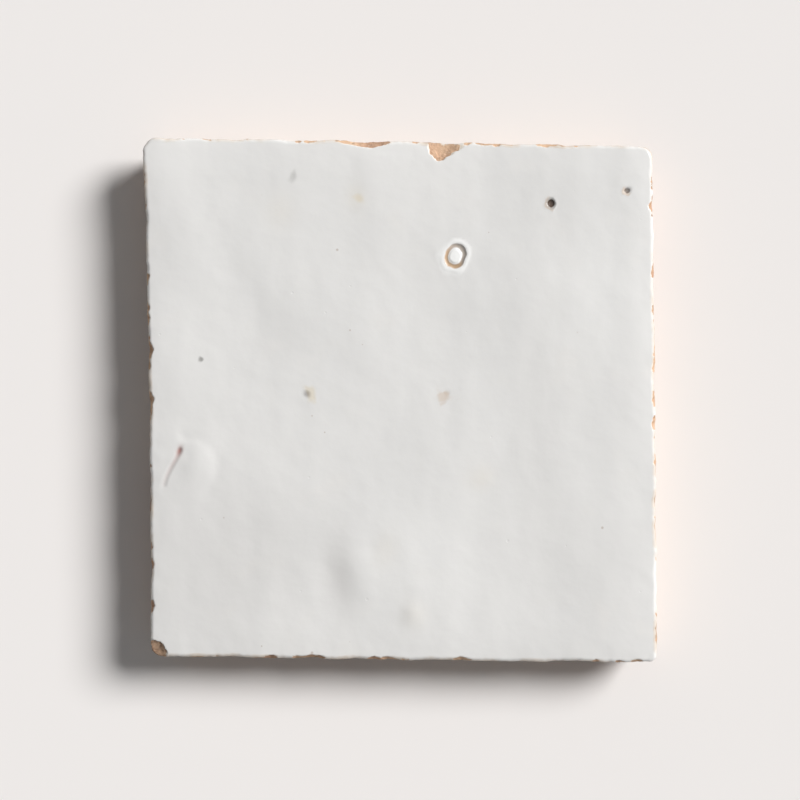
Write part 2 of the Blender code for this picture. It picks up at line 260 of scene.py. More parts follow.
def pitAt(point):                           # 0 to 1, the round voids of the clay
    distances, cells = noise.voronoi(point / clayPits["spacing"])
    dice = noise.cell_vector(cells[0] * clayPits["seed"])
    if dice.x >= clayPits["share"]:
        return 0.0
    radius = clayPits["radius"] / clayPits["spacing"] * (0.5 + dice.y)
    return eased(clayPits["steepness"] * (1 - distances[0] / radius))


# Spalls: (edge, distance along it, half-width, reach, drop, lean), mm, as the tile is cut.
# A negative distance is from the edge's far end.
faceSpalls = [
    (2, 39.0, 3.6, 3.7, 1.0, 1.6),          # the chip of bare clay
    (2, -41.5, 6.0, 1.5, 1.9, -1.2),        # long flake
    (2, 29.3, 1.3, 0.9, 0.9, 0.0),
    (2, 19.6, 2.6, 0.8, 1.0, 0.5),
    (3, 39.8, 2.1, 1.0, 1.4, 0.4),
    (3, -48.3, 2.3, 1.1, 1.7, -0.3),
    (1, 45.0, 1.9, 0.9, 1.2, 0.3),
    (1, -10.9, 1.6, 1.0, 1.3, 0.0),
    (0, 30.3, 2.9, 0.9, 1.4, 0.5),
    (0, -36.7, 2.4, 0.9, 1.2, -0.4),
]
backSpalls = [
    (0, 18.0, 5.0, 2.2, 2.6, 0.8),
    (1, -35.0, 6.5, 1.9, 3.2, -1.2),
    (2, -16.0, 4.2, 2.4, 2.0, 0.5),
    (3, 24.0, 5.6, 2.0, 3.0, 0.0),
]
cornerSpall = (4.0, 2.9, 1.25, 0.0)         # half-width, reach, drop and lean at corner 0
spallShape = {
    "squareness": 1.3,                      # 2 cuts with a ball, 1 with an octahedron
    "spread": 1.3,                          # how far a spall acts, in its own size
    "lumps": 0.6,
    "lumpySize": 2.0,                       # a larger spall is less lumpy, mm
    "facetSize": 1.3,
    "grain": 0.4,
    "grainScale": 2.1,
    "farthest": 1.5,                        # the longest push, in its own size
    "halvings": 14,
    # painted shade: how much darker the low facets of a break are drawn
    "paintedShade": 0.75,
}
crumbs = {                                  # small random losses of the glazed arris
    "seed": 11,
    "count": 85,
    "along": (3, 93),
    "smallness": 2.5,                       # above 1, most crumbs are small
    "halfWidth": (0.5, 2.6),
    "reach": (0.38, 0.75),
    "drop": (0.45, 1.1),
    "reachVariety": (0.85, 1.25),
    "lean": 0.4,
}


class Spall:                                # what one blow breaks off an arris
    def __init__(self, arris, along, out, above, halfWidth, reach, drop, lean):
        self.arris, self.along, self.out, self.above = arris, along, out, above
        self.halfWidth, self.reach, self.drop, self.lean = halfWidth, reach, drop, lean
        self.size = spallShape["spread"] * max(halfWidth, reach, drop)
        self.lumpy = spallShape["lumps"] * min(1.0, spallShape["lumpySize"] / self.size)
        self.inwards = along * lean - out * reach - above * drop

    def pushed(self, point):                # the point, back on the broken surface
        away = point - self.arris
        inside = -away.dot(self.out) / self.reach
        down = -away.dot(self.above) / self.drop
        aside = abs(away.dot(self.along) - self.lean * inside) / self.halfWidth
        lumps = facets(point, spallShape["facetSize"]) - 0.5
        lumps += spallShape["grain"] * noise.noise(point * spallShape["grainScale"])
        room = 1 + self.lumpy * lumps - aside ** spallShape["squareness"]
        if room <= 0 or self.filled(inside, down, 0.0) >= room:
            return point
        low, high = 0.0, spallShape["farthest"]
        for _ in range(spallShape["halvings"]):
            step = (low + high) / 2
            if self.filled(inside, down, step) < room:
                low = step
            else:
                high = step
        return point + self.inwards * low

    def filled(self, inside, down, step):   # reaches the room left where the break ends
        power = spallShape["squareness"]
        return max(0.0, inside + step) ** power + max(0.0, down + step) ** power


def edgeSpall(edge, distance, sizes, onBack=False):
    inset = section["undercut"] if onBack else 0.0
    depth = cut["strokeDepthAtBack" if onBack else "strokeDepth"]
    flat = edgePoint(edge, shareAlong(edge, distance), inset, depth)[0]
    arris = Vector((flat.x, flat.y, 0.0 if onBack else faceHeight(flat)))
    above = Vector((0, 0, -1 if onBack else 1))
    return Spall(arris, alongs[edge].to_3d(), outs[edge].to_3d(), above, *sizes)


def allSpalls():
    spalls = [edgeSpall(edge, distance, sizes) for edge, distance, *sizes in faceSpalls]
    spalls += [edgeSpall(edge, distance, sizes, True) for edge, distance, *sizes in backSpalls]
    flat = edgePoint(0, 0, 0.0, 0.0)[0]
    arris = Vector((flat.x, flat.y, faceHeight(flat)))
    out, across = Vector((-1, -1, 0)).normalized(), Vector((1, -1, 0)).normalized()
    spalls.append(Spall(arris, across, out, Vector((0, 0, 1)), *cornerSpall))
    dice = random.Random(crumbs["seed"])
    for _ in range(crumbs["count"]):
        edge, distance = dice.randrange(4), dice.uniform(*crumbs["along"])
        small = dice.random() ** crumbs["smallness"]
        ranges = (crumbs["halfWidth"], crumbs["reach"], crumbs["drop"])
        halfWidth, reach, drop = [low + (high - low) * small for low, high in ranges]
        reach *= dice.uniform(*crumbs["reachVariety"])
        lean = dice.uniform(-crumbs["lean"], crumbs["lean"]) * halfWidth
        spalls.append(edgeSpall(edge, distance, (halfWidth, reach, drop, lean)))
    return spalls


class Breaks:                               # all the spalls, each found by its place
    def __init__(self, spalls):
        self.spalls = spalls
        self.farthest = max(spall.size for spall in spalls)
        self.tree = kdtree.KDTree(len(spalls))
        for i, spall in enumerate(spalls):
            self.tree.insert(spall.arris, i)
        self.tree.balance()

    def pushed(self, point):
        near = sorted((i, away) for _, i, away in self.tree.find_range(point, self.farthest))
        for i, away in near:
            if away < self.spalls[i].size:
                point = self.spalls[i].pushed(point)
        return point


# The outline is broken back a little, here and there. Sizes and depths in mm.
rag = {
    "size": 3.0,
    "depth": 0.3,
    "fineSize": 1.0,
    "fineDepth": 0.1,
    "upright": 0.2,                         # how fast it changes down the side
    "reach": 3.0,
}


def ragged(point):
    place = Vector((point.x, point.y, point.z * rag["upright"]))
    back = rag["depth"] * max(0.0, noise.noise(place / rag["size"]))
    back += rag["fineDepth"] * (0.5 + noise.noise(place / rag["fineSize"]))
    for corner, out in zip(corners, outs):
        near = 1 - (corner - point.to_2d()).dot(out) / rag["reach"]
        if near > 0:
            point = point - out.to_3d() * (back * eased(near))
    return point


# Flaws of the glaze, in mm on the face. The rings are (share of the size, rise) steps. A stain entry is
# (colour, strength, inner and outer share of the size, softness, side in degrees or None); on the
# blister some are painted light and shade.
# pearl serves as painted light, and as the white glaze of the blister's dome; shade is painted shade
# wherever it is used
umber, tan, beige = (0.07, 0.04, 0.025), (0.50, 0.29, 0.12), (0.46, 0.34, 0.25)
grey, yellow, rose = (0.22, 0.215, 0.20), (0.72, 0.60, 0.38), (0.33, 0.14, 0.12)
whiteAndPaintedLight, paintedShade = (0.93, 0.93, 0.915), (0.30, 0.265, 0.25)
flaws = {
    "pinhole": {
        "place": (28.3, 37.3), "size": 1.08, "tall": 1.0, "turn": 0, "wobble": 0.3,
        "rings": [(0.0, -0.42), (0.35, -0.38), (0.62, -0.1), (1.0, 0.03), (1.6, 0.0)],
        "stainsAndPaintedLight": [
            (tan, 0.35, 0.3, 1.2, 0.3, 200), (grey, 0.5, 0.3, 1.0, 0.3, None),
            (umber, 0.96, 0.0, 0.66, 0.2, None),
        ],
    },
    "pinholeAtCorner": {
        "place": (42.7, 39.7), "size": 1.0, "tall": 0.9, "turn": 20, "wobble": 0.35,
        "rings": [(0.0, -0.3), (0.35, -0.26), (0.65, -0.07), (1.0, 0.02), (1.6, 0.0)],
        "stainsAndPaintedLight": [(tan, 0.4, 0.2, 1.1, 0.3, 200), (umber, 0.75, 0.0, 0.6, 0.2, None)],
    },
    "blister": {
        "place": (10.3, 27.2), "size": 2.1, "tall": 1.12, "turn": -10, "wobble": 0.22,
        "rings": [
            (0.0, 0.08), (0.4, 0.05), (0.64, -0.12), (0.8, -0.18), (0.92, -0.12), (1.05, 0.05),
            (1.22, 0.08), (1.55, 0.02), (1.9, 0.0),
        ],
        "stainsAndPaintedLight": [
            # painted highlight: the first pearl ring, on the raised rim; painted shade: the grey on the
            # right wall of the groove; the pearl centre is white glaze with a painted highlight
            (whiteAndPaintedLight, 0.7, 1.0, 1.5, 0.5, None), (beige, 0.7, 0.62, 1.0, 0.16, None),
            (grey, 0.55, 0.66, 1.0, 0.16, 5), (tan, 0.6, 0.66, 1.03, 0.18, 235),
            (whiteAndPaintedLight, 0.95, 0.0, 0.62, 0.14, None),
        ],
    },
    "haloSpot": {
        "place": (-17.7, 1.3), "size": 1.2, "tall": 1.1, "turn": 0, "wobble": 0.4,
        "rings": [(0.0, -0.07), (0.8, -0.02), (1.3, 0.0)],
        "stainsAndPaintedLight": [(yellow, 0.4, 0.0, 1.3, 1.0, 20), (umber, 0.46, 0.0, 0.5, 0.7, None)],
    },
    "tanSmear": {
        "place": (8.2, 1.3), "size": 1.7, "tall": 0.7, "turn": 25, "wobble": 0.8,
        "rings": [(0.0, -0.04), (0.9, 0.0)],
        "stainsAndPaintedLight": [(tan, 0.32, 0.0, 1.0, 1.0, 205), (tan, 0.4, 0.0, 0.4, 0.6, 20)],
    },
    "greySpeck": {
        "place": (-37.7, 7.8), "size": 0.5, "tall": 1.2, "turn": 10, "wobble": 0.3,
        "rings": [(0.0, -0.04), (1.0, 0.0)],
        "stainsAndPaintedLight": [(grey, 0.7, 0.0, 0.75, 0.8, None)],
    },
    "yellowSpeck": {
        "place": (-7.8, 38.1), "size": 1.1, "tall": 1.2, "turn": 30, "wobble": 0.6,
        "rings": [(0.0, 0.0), (1.0, 0.0)],
        "stainsAndPaintedLight": [(yellow, 0.36, 0.0, 0.65, 1.1, None)],
    },
    "speckAtTop": {
        "place": (-20.3, 42.3), "size": 0.75, "tall": 1.7, "turn": -10, "wobble": 0.4,
        "rings": [(0.0, -0.02), (1.0, 0.0)],
        "stainsAndPaintedLight": [(grey, 0.3, 0.0, 0.75, 1.1, None)],
    },
}
# Faint clouds on the face: the yellow ones tint the glaze, the shade ones are painted shade and the
# pearl ones painted light, where the face's relief is shaded or lit: (colour, place across and up, half
# across, half up, turn, strength)
clouds = [
    (yellow, -8.4, 38.4, 1.9, 2.4, 0, 0.12),
    (yellow, -22.8, 35.8, 2.8, 3.2, 0, 0.08),
    (yellow, 15.0, -14.6, 2.6, 2.2, 20, 0.1),
    (yellow, -2.8, -28.0, 2.4, 3.4, -15, 0.08),
    (yellow, 2.6, -40.2, 2.2, 2.6, 0, 0.08),
    (paintedShade, -33.0, -31.0, 17.0, 18.0, 0, 0.125),
    (paintedShade, 32.0, -31.0, 17.0, 17.0, 0, 0.05),
    (paintedShade, 25.5, -2.0, 5.5, 21.0, 4, 0.05),
    (paintedShade, -24.0, 12.0, 6.0, 6.0, 0, 0.05),
    (paintedShade, -11.6, -32.5, 2.8, 7.5, 8, 0.15),
    (paintedShade, 0.8, -40.4, 1.3, 2.0, 0, 0.08),
    (whiteAndPaintedLight, 39.0, 24.0, 8.0, 14.0, 0, 0.12),
    (whiteAndPaintedLight, 4.0, -27.0, 9.0, 9.0, 0, 0.12),
]
# A healed crack with a dark dot at its end, and the hollow that runs round the lump beside it
scar = {
    "path": [(-44.7, -15.9), (-44.2, -14.3), (-43.4, -12.7), (-42.4, -11.0), (-41.7, -9.3)],
    "halfWidth": 0.75,
    "rise": -0.12,
    "tint": (0.1, 0.3),                    # strength at its start, and what its end adds
    "dot": (-41.7, -9.4, 0.5, 0.9, -15),    # place, half-sizes and turn
    "dotRise": -0.12,
    "dotStain": 0.8,
    "reach": 12.0,                          # the crack and its hollow lie within this
}
moat = {
    "path": [
        (-40.8, -6.9), (-38.4, -6.8), (-36.0, -8.2), (-34.4, -11.2), (-34.8, -14.6), (-36.6, -17.6),
    ],
    "halfWidth": 1.6,
    "rise": -0.08,
}
# How uneven a flaw's outline is, and how far from it its rings may reach, in its own size
flawOutline = {
    "scale": 0.9,
    "shift": (17.3, 5.1),
    "step": 3.7,                            # from one flaw to the next
    "fine": 0.3,
    "fineScale": 2.7,
    "slack": 0.6,
    "stretch": 1.4,
}


def stepped(steps, share):                  # smooth value between (share, value) steps
    for (low, start), (high, end) in zip(steps, steps[1:]):
        if share < high:
            return start + (end - start) * eased((share - low) / (high - low))
    return steps[-1][1]


def awayFromLine(point, start, line):       # (distance, share of the way)
    t = min(1.0, max(0.0, (point - start).dot(line) / line.length_squared))
    return (point - start - line * t).length, t


def nearestOn(point, path):                 # the same, for a path
    best = (1e9, 0.0)
    for i, (start, end) in enumerate(zip(path, path[1:])):
        away, t = awayFromLine(point, Vector(start), Vector(end) - Vector(start))
        best = min(best, (away, (i + t) / (len(path) - 1)))
    return best


def layered(under, colour, strength):       # lays a tint over what is there: stains, painted shade and painted light alike
    most = 1 - (1 - under[1]) * (1 - strength)
    share = strength / most if most > 0 else 1.0
    return Vector(under[0]).lerp(Vector(colour), share), most


def outlineWobble(away, i):                 # away is in the flaw's own size
    across, up = flawOutline["shift"]
    scale = flawOutline["scale"]
    place = Vector((scale * away.x + across, scale * away.y + up, flawOutline["step"] * i))
    return noise.noise(place) + flawOutline["fine"] * noise.noise(place * flawOutline["fineScale"])


def flawAt(point):                          # (rise, tint colour, tint strength), a mix of stains and painted shade and light
    rise, tint = 0.0, ((1.0, 1.0, 1.0), 0.0)
    for i, flaw in enumerate(flaws.values()):
        away = point - Vector(flaw["place"])
        farthest = (flaw["rings"][-1][0] + flawOutline["slack"]) * flaw["size"]
        if away.length > farthest * flawOutline["stretch"]:
            continue
        away.rotate(Matrix.Rotation(-math.radians(flaw["turn"]), 2))
        away.y /= flaw["tall"]
        away /= flaw["size"]
        share = away.length * (1 + flaw["wobble"] * outlineWobble(away, i))
        rise += stepped(flaw["rings"], share)
        for colour, most, low, high, soft, side in flaw["stainsAndPaintedLight"]:
            inner = 1.0 if low == 0 else eased((share - low) / soft + 0.5)
            outer = eased((high - share) / soft + 0.5)
            lean = 1.0
            if side is not None:
                lean = eased(0.5 + math.cos(math.atan2(away.y, away.x) - math.radians(side)))
            tint = layered(tint, colour, most * inner * outer * lean)
    for colour, *place, most in clouds:
        tint = layered(tint, colour, most * bellAt(point, *place))
    if nearScar(point):
        for mark in (scar, moat):
            away, _ = nearestOn(point, mark["path"])
            rise += mark["rise"] * eased(1 - away / mark["halfWidth"])
        away, along = nearestOn(point, scar["path"])
        first, more = scar["tint"]
        strength = (first + more * along) * eased(1 - away / scar["halfWidth"])
        tint = layered(tint, rose, strength)
        dot = bellAt(point, *scar["dot"])
        rise += scar["dotRise"] * dot
        tint = layered(tint, rose, scar["dotStain"] * dot)
    return rise, *tint


def nearScar(point):
    return (point - Vector(moat["path"][1])).length < scar["reach"]


# How fine the slab is, mm: the longest edge of a face in each zone, and how fast it may grow
# with the distance from the fine zones
fineness = {
    "face": 0.9,
    "side": 0.47,
    "back": 1.8,
    "backArris": 0.47,
    "arris": 0.235,
    "spall": 0.235,
    "flaw": 0.12,
    "growth": 0.35,
}
latticeStep = 1.7
fineLevels = 4
zone = {                                    # how far the fine zones reach, mm
    "arris": 0.4,
    "underFace": 1.5,
    "backArris": 0.6,
    "breaks": 6.0,                          # in from the edges, where breaks are looked for
    "breaksDown": 5.0,
    "roundSpall": 0.2,
    "cornerSize": 1.4,                      # in the corner spall's half-width
    "roundScar": 0.6,
    "flawSize": 1.3,                        # in the flaw's size
    "roundFlaw": 0.1,
}


def fromEdge(place):                        # distance from the slab's nearest edge
    return min(halfX - abs(place.x), halfY - abs(place.y))


def wantedLength(place, spallLines):
    down, inwards = section["thickness"] - place.z, fromEdge(place)
    wanted = fineness["face"] if down < hair else fineness["side"]
    if place.z < hair:
        wanted = fineness["back"]
    nearby = [
        ("arris", max(inwards - zone["arris"], down - zone["underFace"])),
        ("backArris", max(inwards - zone["backArris"], place.z - zone["backArris"])),
    ]
    if inwards < zone["breaks"] and (down < zone["breaksDown"] or place.z < zone["breaksDown"]):
        nearby.append(("spall", awayFromSpalls(place, spallLines)))
    if down < hair:
        nearby.append(("flaw", awayFromFlaws(place.to_2d())))
    for name, away in nearby:
        wanted = min(wanted, fineness[name] + fineness["growth"] * max(0.0, away))
    return wanted


def awayFromSpalls(place, spallLines):      # a line runs along the arris, with a radius
    return min(awayFromLine(place, start, line)[0] - radius for start, line, radius in spallLines)


def awayFromFlaws(point):
    nearest = nearestOn(point, scar["path"])[0] - zone["roundScar"]
    for flaw in flaws.values():
        away = (point - Vector(flaw["place"])).length - flaw["size"] * zone["flawSize"]
        nearest = min(nearest, away - zone["roundFlaw"])
    return nearest


def plainSlab():                            # a box in lattice, then finer where it matters
    bm = bmesh.new()
    size = (cut["width"], cut["length"], section["thickness"])
    bmesh.ops.create_cube(bm, size=1)
    for axis in range(3):
        rungs = [e for e in bm.edges if abs(e.verts[0].co[axis] - e.verts[1].co[axis]) > 0.5]
        cuts = round(size[axis] / latticeStep) - 1
        bmesh.ops.subdivide_edges(bm, edges=rungs, cuts=cuts, use_grid_fill=True)
    bmesh.ops.translate(bm, verts=bm.verts, vec=(0, 0, 0.5))
    bmesh.ops.scale(bm, verts=bm.verts, vec=size)
    spallLines = []
    for spalls, z in ((faceSpalls, section["thickness"]), (backSpalls, 0.0)):
        for edge, distance, halfWidth, reach, drop, _ in spalls:
            line = alongs[edge].to_3d() * halfWidth
            ends = (slabCorners[edge], slabCorners[(edge + 1) % 4])
            flat = ends[0].lerp(ends[1], shareAlong(edge, distance))
            start = Vector((flat.x, flat.y, z)) - line
            spallLines.append((start, 2 * line, max(reach, drop) + zone["roundSpall"]))
    corner = Vector((-halfX, -halfY, section["thickness"]))
    shortLine = Vector((0.1, 0, 0))
    spallLines.append((corner, shortLine, cornerSpall[0] * zone["cornerSize"]))
    for _ in range(fineLevels):
        long = [e for e in bm.edges if e.calc_length() > wantedLength(middleOf(e), spallLines)]
        if long:
            halve = {"cuts": 1, "use_grid_fill": True, "use_single_edge": True}
            bmesh.ops.subdivide_edges(bm, edges=long, **halve)
    return bm


def middleOf(edge):
    return (edge.verts[0].co + edge.verts[1].co) / 2


# Where the glaze ends below the arris, and how thick it is where it is broken, mm
glazeEdge = {
    "middle": 1.2,
    "spread": 1.1,
    "least": 0.25,
    "length": 4.0,
    "fine": 0.35,
    "fineScale": 1.1,
    "soft": 0.12,
    "thickness": 0.2,
    "unevenness": 0.6,
    "thinning": 1.3,                        # how far above its end it starts to thin
}
struckSide = {                              # smooth under the lip, rough below, mm
    "roughFrom": 2.6,
    "footFade": 0.8,
    "footRoughness": 0.15,
    # painted shade: how much darker the deep broken clay is drawn, 0 to 1
    "paintedShade": 0.75,
}
bench = {                                   # the back was pressed on a sanded bench, mm
    "depth": 0.14,
    "level": 0.45,
    "drags": (14.0, 5.0, 0.4),              # length across, length up, share
    "dents": (2.6, 0.15, 0.5),              # size, threshold, share
    "grain": (1.2, 0.1),                    # scale, share
    "edgeFade": 2.0,
    # painted shade in the hollows of the bench marks
    "paintedShade": 0.5,
}
loss = {"least": 0.02, "full": 0.08}        # mm of surface lost, from which it is a break


def sidePoint(edge, share, down):           # (point, painted shade for how deep it lies in broken clay or a pit)
    inset, drop, depth = edgeSection(down)
    flat, out = edgePoint(edge, share, inset, depth)
    left = 1 - drop / section["thickness"]
    point = Vector((flat.x, flat.y, faceHeight(flat) * left))
    above = (section["thickness"] - down) / struckSide["footFade"]
    rough = eased((down - lipLength) / struckSide["roughFrom"])
    rough *= min(1.0, above + struckSide["footRoughness"])
    back, pit = brokenClay(point), pitAt(point)
    point = ragged(point) - out.to_3d() * ((back + clayPits["depth"] * pit) * rough)
    return point, max(struckSide["paintedShade"] * back / mostBroken, pit)


def backPoint(u, v):                        # (point, painted shade for how deep it lies in a mark)
    flat = patchPoint(u, v, section["undercut"] + section["backArris"], cut["strokeDepthAtBack"])
    across, up, share = bench["drags"]
    hollow = bench["level"] + share * noise.noise(Vector((flat.x / across, flat.y / up, 1)))
    place = Vector((flat.x, flat.y, 2))
    size, threshold, share = bench["dents"]
    dents = share * max(0.0, noise.noise(place / size) - threshold)
    scale, share = bench["grain"]
    hollow = max(0.0, hollow + (dents + share * noise.noise(place * scale)))
    edge = min(cut["width"], cut["length"]) * min(u, 1 - u, v, 1 - v)
    height = bench["depth"] * hollow * min(1.0, edge / bench["edgeFade"])
    return Vector((flat.x, flat.y, height)), bench["paintedShade"] * hollow


def glazeRun(point):                        # how far the glaze runs down from the face
    run = noise.noise(point / glazeEdge["length"])
    run += glazeEdge["fine"] * noise.noise(point * glazeEdge["fineScale"])
    return max(glazeEdge["least"], glazeEdge["middle"] + glazeEdge["spread"] * run)


def carved(place):                          # a slab point before the breaks, and its marks
    x, y, z = place
    u, v, down = (x + halfX) / (2 * halfX), (y + halfY) / (2 * halfY), section["thickness"] - z
    touching = 1e-4
    onUpperOrLower = abs(abs(y) - halfY) < touching
    marks = {"onSide": onUpperOrLower or abs(abs(x) - halfX) < touching}
    marks.update(colour=(1.0, 1.0, 1.0), strength=0.0, hollow=0.5, belowGlaze=-1.0)
    if marks["onSide"]:
        if onUpperOrLower:
            edge, share = (0, u) if y < 0 else (2, 1 - u)
        else:
            edge, share = (1, v) if x > 0 else (3, 1 - v)
        point, marks["hollow"] = sidePoint(edge, share, down)
        marks["belowGlaze"] = down - glazeRun(point)
    elif down < hair:
        flat = patchPoint(u, v, section["lip"], cut["strokeDepth"])
        rise, marks["colour"], marks["strength"] = flawAt(flat)
        point = ragged(Vector((flat.x, flat.y, faceHeight(flat) + rise)))
    else:
        point, marks["hollow"] = backPoint(u, v)
        marks["belowGlaze"] = 1.0
    return point, marks


maskNames = ("clay", "broken", "thin", "hollow")  # what the material reads from the mesh; hollow is painted shade for the clay


def shapedTile():                           # the slab, cut, struck, chipped and flawed
    bm = plainSlab()
    print("slab faces:", len(bm.faces))
    layers = {name: bm.verts.layers.float.new(name) for name in maskNames}
    # stains of the glaze, with painted shade and light
    tintLayer = bm.verts.layers.float_color.new("tint")
    breaks = Breaks(allSpalls())
    for vert in bm.verts:
        surface, marks = carved(vert.co)
        mayBreak = marks["onSide"] or fromEdge(vert.co) < zone["breaks"]
        point = breaks.pushed(surface) if mayBreak else surface
        lost, belowGlaze, thin = (point - surface).length, marks["belowGlaze"], 0.0
        if lost > loss["least"]:
            # the low facets of a break are drawn darker, as painted shade
            marks["hollow"] = spallShape["paintedShade"] * facets(surface, spallShape["facetSize"])
            if belowGlaze < 0:
                uneven = 1 + glazeEdge["unevenness"] * noise.noise(surface)
                below = faceHeight(surface.to_2d()) - point.z
                belowGlaze = max(belowGlaze, below - glazeEdge["thickness"] * uneven)
        if marks["onSide"]:
            thin = eased(1 + belowGlaze / glazeEdge["thinning"])
        vert[layers["clay"]] = eased(belowGlaze / glazeEdge["soft"] + 0.5)
        vert[layers["broken"]] = eased(lost / loss["full"])
        vert[layers["thin"]] = thin
        vert[layers["hollow"]] = min(1.0, marks["hollow"])
        vert[tintLayer] = (*marks["colour"], marks["strength"])
        vert.co = point
    return bm


def fitted(bm):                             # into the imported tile's own box, and to metres
    places = [vert.co for vert in bm.verts]
    low = Vector([min(p[i] for p in places) for i in range(3)])
    high = Vector([max(p[i] for p in places) for i in range(3)])
    target = [(tileHigh[i] - tileLow[i]) / mm - 2 * hair for i in range(3)]
    factors = [target[i] / (high[i] - low[i]) for i in range(3)]
    factors[2] = min(1.0, factors[2])
    print("fit of the shape to the frame:", [round(factor, 4) for factor in factors])
    toMiddle = (-(low.x + high.x) / 2, -(low.y + high.y) / 2, -low.z)
    bmesh.ops.translate(bm, verts=bm.verts, vec=toMiddle)
    bmesh.ops.scale(bm, verts=bm.verts, vec=[factor * mm for factor in factors])
    middle = (tileLow + tileHigh) / 2
    bmesh.ops.translate(bm, verts=bm.verts, vec=(middle.x, middle.y, tileLow.z))


# Where the broken surface folds back on itself. The limit is the cosine between two faces.
unfold = {"passes": 5, "limit": -0.1, "easing": 0.5}


def unfolded(bm):
    axes = {"use_axis_x": True, "use_axis_y": True, "use_axis_z": True}
    for _ in range(unfold["passes"]):
        bm.normal_update()
        folds = []
        for edge in bm.edges:
            first, second = edge.link_faces
            if first.normal.dot(second.normal) < unfold["limit"]:
                folds += [first, second]
        loose = list({vert for face in folds for vert in face.verts})
        bmesh.ops.smooth_vert(bm, verts=loose, factor=unfold["easing"], **axes)
    print("faces eased in the last pass:", len(folds))


def addObject(name, data):
    added = bpy.data.objects.new(name, data)
    bpy.context.scene.collection.objects.link(added)
    return added


def addMesh(name, bm):
    mesh = bpy.data.meshes.new(name)
    bm.to_mesh(mesh)
    bm.free()
    return addObject(name, mesh)


def tileObject():
    bm = shapedTile()
    unfolded(bm)
    fitted(bm)
    bmesh.ops.triangulate(bm, faces=[f for f in bm.faces if len(f.verts) > 4])
    bmesh.ops.recalc_face_normals(bm, faces=bm.faces)
    tile = addMesh("glazed_tile", bm)
    tile.data.shade_smooth()
    print("tile triangles:", sum(len(p.vertices) - 2 for p in tile.data.polygons))
    return tile


# Shader groups
def newGroup(name, inputs, outputs):
    group = bpy.data.node_groups.new(name, "ShaderNodeTree")
    for title, kind, value in inputs:
        socket = group.interface.new_socket(title, in_out="INPUT", socket_type=kind)
        socket.default_value = value
    for title, kind in outputs:
        group.interface.new_socket(title, in_out="OUTPUT", socket_type=kind)
    return group, group.nodes.new("NodeGroupInput"), group.nodes.new("NodeGroupOutput")


def fill(tree, socket, value):              # links a socket, or sets its value
    if isinstance(value, bpy.types.NodeSocket):
        tree.links.new(value, socket)
    else:
        socket.default_value = value


def addNode(tree, kind, values=None, **settings):
    node = tree.nodes.new(kind)
    for name, value in settings.items():
        setattr(node, name, value)
    for name, value in (values or {}).items():
        fill(tree, node.inputs[name], value)
    return node


def mixColour(tree, amount, first, second, blend="MIX"):
    values = {"Factor": amount, 6: first, 7: second}        # 6 and 7 are the node's colours
    return addNode(tree, "ShaderNodeMix", values, data_type="RGBA", blend_type=blend).outputs[2]


def mixValue(tree, amount, first, second):
    values = {"Factor": amount, 2: first, 3: second}        # 2 and 3 are its values
    return addNode(tree, "ShaderNodeMix", values, data_type="FLOAT").outputs[0]


def maths(tree, operation, first, second, clamp=False):
    values = {0: first, 1: second}
    return addNode(tree, "ShaderNodeMath", values, operation=operation, use_clamp=clamp).outputs[0]


def times(tree, first, second):
    return maths(tree, "MULTIPLY", first, second)


def ramp(tree, value, low, high):           # 0 below low, 1 above high
    values = {"Value": value, "From Min": low, "From Max": high}
    return addNode(tree, "ShaderNodeMapRange", values, interpolation_type="SMOOTHSTEP").outputs["Result"]


def noiseMask(tree, place, scale, detail, roughness=0.5):
    values = {"Vector": place, "Scale": scale, "Detail": detail, "Roughness": roughness}
    return addNode(tree, "ShaderNodeTexNoise", values).outputs["Fac"]


# Noises are (scale, detail, roughness). A range says where a mask starts, and where it is full.
sandyClay = {
    "pale": (0.71, 0.48, 0.32, 1),
    "deep": (0.55, 0.33, 0.22, 1),
    "sand": (0.82, 0.70, 0.56, 1),
    # void: the dark colour of the pores, and of the painted shade in deep hollows
    "void": (0.24, 0.12, 0.07, 1),
    "clouds": (210, 3, 0.65),
    "broadClouds": (60, 1),
    "cloudRange": (0.5, 1.12),
    # painted shade: how much darker deep clay is drawn
    "hollowShade": 0.35,
    "gritScale": 2600.0,
    "gritRange": (0.4, 0.1),
    "gritPatches": (1300, 1),
    "patchRange": (0.52, 0.6),
    "gritShare": 0.55,
    "gritHeight": 0.12,
    "pores": (1500, 2, 0.6),
    "poreRange": (0.39, 0.31),
    "poreClusters": (170, 2),
    "clusterRange": (0.42, 0.6),
    "poreShare": 0.5,
    "poreHeight": 0.6,
    "voidRange": (0.7, 1.1),                # how deep a hollow is when it is painted dark, as shade
    "grain": (1300, 4, 0.75),
}
speckShape = {"least": 0.4, "softness": 0.05}


